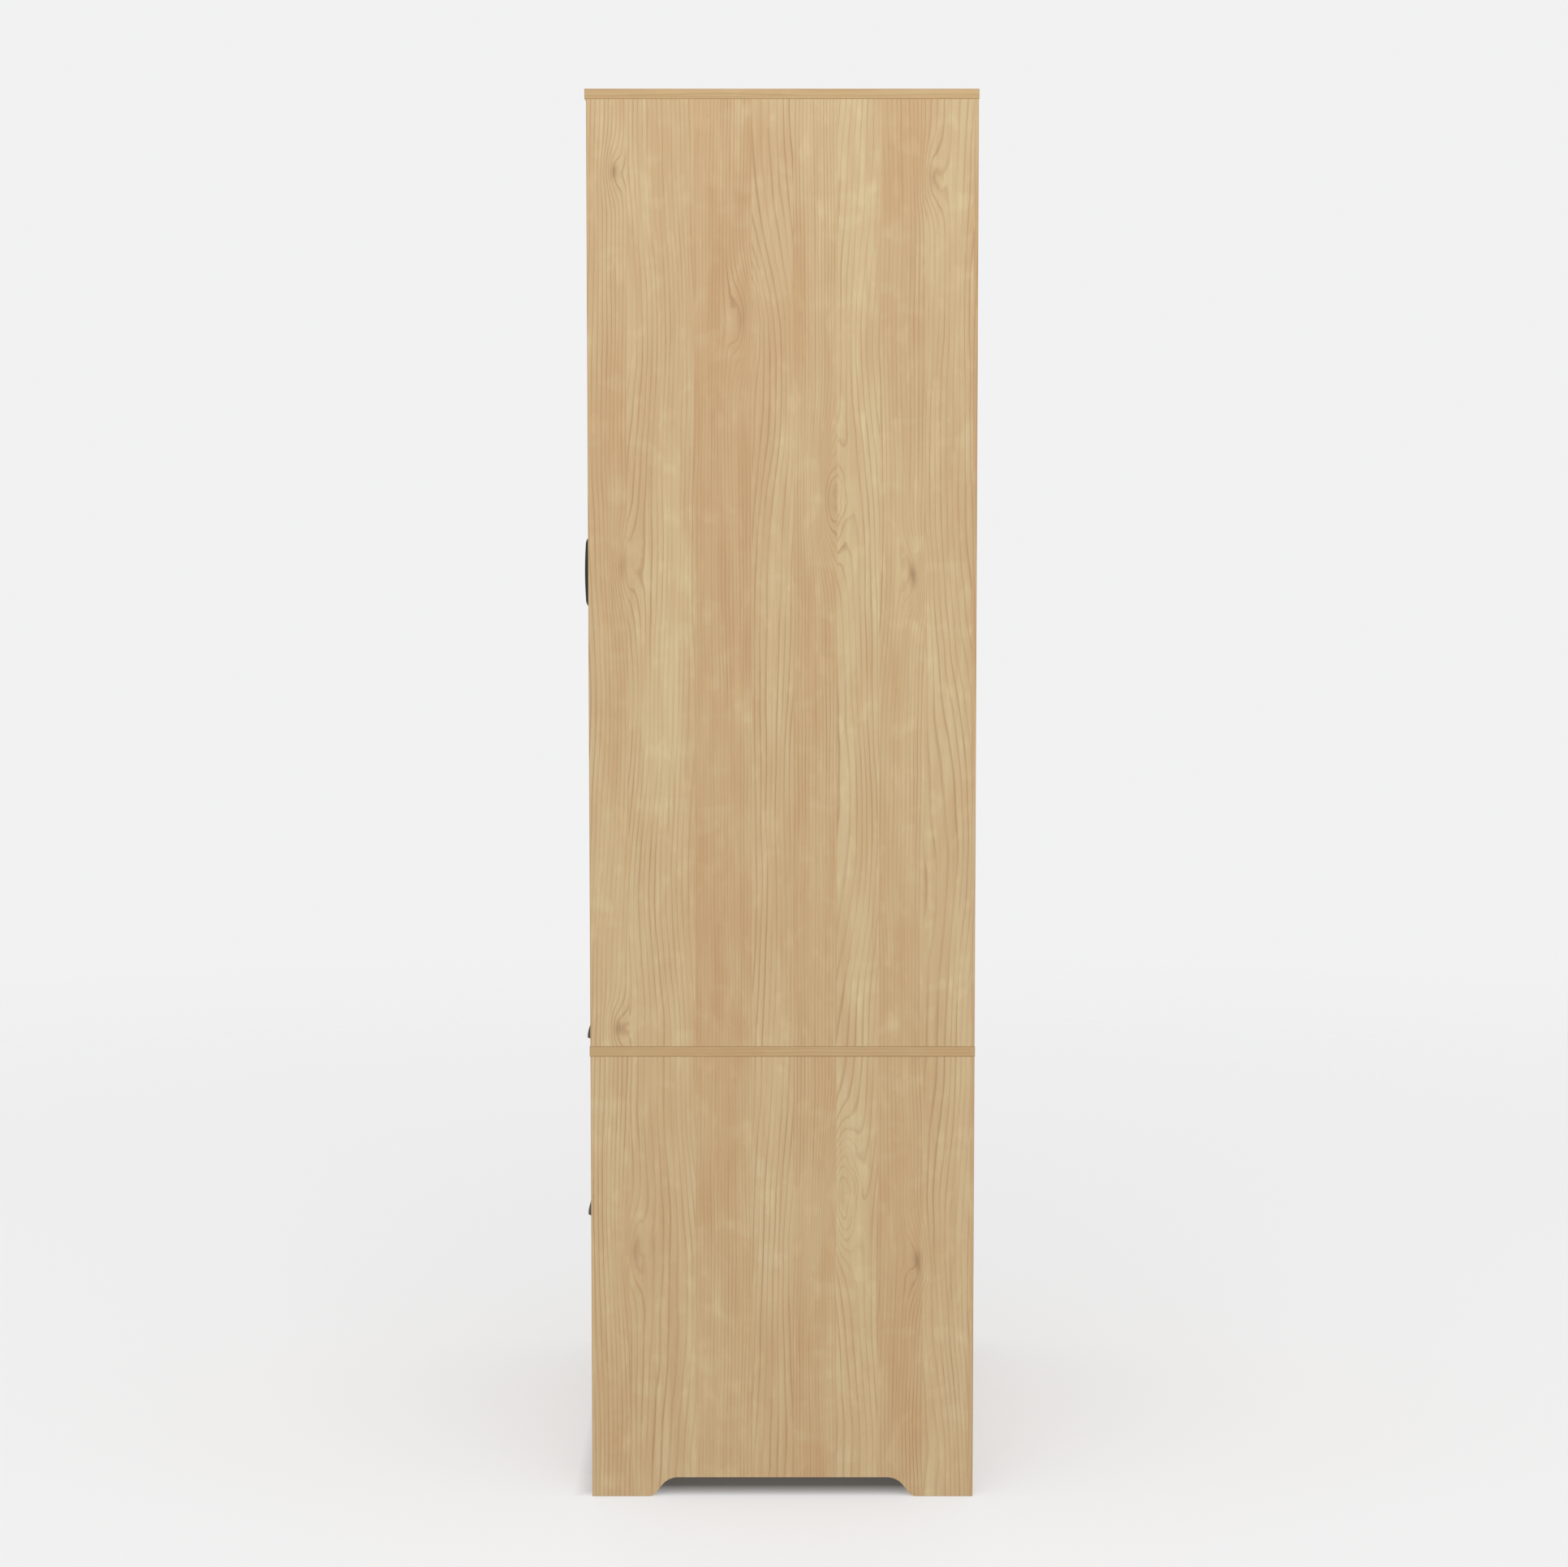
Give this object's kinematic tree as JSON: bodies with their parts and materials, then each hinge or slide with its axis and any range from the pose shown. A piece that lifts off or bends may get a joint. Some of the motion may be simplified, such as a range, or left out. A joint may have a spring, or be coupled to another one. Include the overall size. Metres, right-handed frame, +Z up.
{
  "type": "pantry cabinet",
  "caption": "Tall free-standing pantry cabinet of light wood-grain board with hinged doors above drawers, arched feet, dark bar and cup pulls, and inner shelves.",
  "frame": {"origin": "centre of the bounding box's footprint, on the floor", "axes": "the doors and drawers face -Y, +X runs to the right of someone who stands in front of them, +Z up"},
  "size_m": [0.8, 0.5266, 1.829],
  "materials": {
    "laminate_panels": "satin laminated board, light maple print with the grain running up",
    "laminate_boards": "satin laminated board, light maple print with the grain running along the edge",
    "drawer_board": "satin laminated board, plain light print",
    "hardboard": "thin hardboard with a smooth printed face",
    "beech": "raw fluted beech",
    "pull_metal": "satin near-black with a slight brown cast",
    "zinc": "bright zinc plate",
    "steel_plate": "plain rolled steel",
    "epoxy_steel": "off-white epoxy coat",
    "nylon": "natural white nylon",
    "catch_plastic": "moulded brown plastic"
  },
  "bodies": {
    "carcass": {"back_panel_lower": "hardboard", "back_panel_upper": "hardboard", "bottom_board": "laminate_panels", "cabinet_runners_lower": "epoxy_steel", "cabinet_runners_upper": "epoxy_steel", "cam_bolts": "zinc", "cam_discs": "zinc", "catch_housings": "catch_plastic", "catch_poles": "steel_plate", "dowels": "beech", "fixed_shelf": "laminate_panels", "front_apron": "laminate_panels", "mid_board": "laminate_boards", "pivot_bushes": "nylon", "rear_rail": "laminate_panels", "runner_screws": "zinc", "shelf_lower": "laminate_panels", "shelf_pins": "zinc", "shelf_upper": "laminate_panels", "side_left_lower": "laminate_panels", "side_left_upper": "laminate_panels", "side_right_lower": "laminate_panels", "side_right_upper": "laminate_panels", "top_board": "laminate_boards", "top_rear_rail": "laminate_panels"},
    "door_right": {"door_pull_right": "pull_metal", "door_pull_screws_right": "zinc", "door_right": "laminate_panels", "pivot_pins_right": "zinc", "strike_plate_right": "steel_plate"},
    "door_left": {"door_left": "laminate_panels", "door_pull_left": "pull_metal", "door_pull_screws_left": "zinc", "pivot_pins_left": "zinc", "strike_plate_left": "steel_plate"},
    "drawer_upper": {"drawer_upper_back": "drawer_board", "drawer_upper_bottom": "hardboard", "drawer_upper_cams": "zinc", "drawer_upper_front": "laminate_panels", "drawer_upper_pull": "pull_metal", "drawer_upper_pull_screws": "zinc", "drawer_upper_runners": "epoxy_steel", "drawer_upper_screws": "zinc", "drawer_upper_side_left": "drawer_board", "drawer_upper_side_right": "drawer_board"},
    "drawer_lower": {"drawer_lower_back": "drawer_board", "drawer_lower_bottom": "hardboard", "drawer_lower_cams": "zinc", "drawer_lower_front": "laminate_panels", "drawer_lower_pull": "pull_metal", "drawer_lower_pull_screws": "zinc", "drawer_lower_runners": "epoxy_steel", "drawer_lower_screws": "zinc", "drawer_lower_side_left": "drawer_board", "drawer_lower_side_right": "drawer_board"},
    "front_rollers_upper": {"front_rollers_upper": "nylon"},
    "front_rollers_lower": {"front_rollers_lower": "nylon"},
    "rear_rollers_upper": {"drawer_upper_rollers": "nylon"},
    "rear_rollers_lower": {"drawer_lower_rollers": "nylon"}
  },
  "joints": [
    {"name": "door_right_hinge", "type": "hinge", "parent": "carcass", "child": "door_right", "pos_m": [0.3767, -0.23045, 1.207], "axis": [0, 0, 1], "range_deg": [0, 105]},
    {"name": "door_left_hinge", "type": "hinge", "parent": "carcass", "child": "door_left", "pos_m": [-0.3767, -0.23045, 1.207], "axis": [0, 0, -1], "range_deg": [0, 105]},
    {"name": "drawer_upper_slide", "type": "slide", "parent": "carcass", "child": "drawer_upper", "axis": [0, -1, 0], "range_m": [0, 0.36]},
    {"name": "drawer_lower_slide", "type": "slide", "parent": "carcass", "child": "drawer_lower", "axis": [0, -1, 0], "range_m": [0, 0.36]},
    {"name": "front_rollers_upper_spin", "type": "hinge", "parent": "carcass", "child": "front_rollers_upper", "pos_m": [0, -0.2033, 0.365], "axis": [1, 0, 0], "range_deg": [-5, 2375.9]},
    {"name": "rear_rollers_upper_spin", "type": "hinge", "parent": "drawer_upper", "child": "rear_rollers_upper", "pos_m": [0, 0.2119, 0.365], "axis": [1, 0, 0], "range_deg": [-5, 2375.9]},
    {"name": "front_rollers_lower_spin", "type": "hinge", "parent": "carcass", "child": "front_rollers_lower", "pos_m": [0, -0.2033, 0.112], "axis": [1, 0, 0], "range_deg": [-5, 2375.9]},
    {"name": "rear_rollers_lower_spin", "type": "hinge", "parent": "drawer_lower", "child": "rear_rollers_lower", "pos_m": [0, 0.2119, 0.112], "axis": [1, 0, 0], "range_deg": [-5, 2375.9]}
  ],
  "couplings": [
    {"joint": "front_rollers_upper_spin", "follows": "drawer_upper_slide", "rad_per_m": 114.94},
    {"joint": "rear_rollers_upper_spin", "follows": "drawer_upper_slide", "rad_per_m": 114.94},
    {"joint": "front_rollers_lower_spin", "follows": "drawer_lower_slide", "rad_per_m": 114.94},
    {"joint": "rear_rollers_lower_spin", "follows": "drawer_lower_slide", "rad_per_m": 114.94}
  ]
}
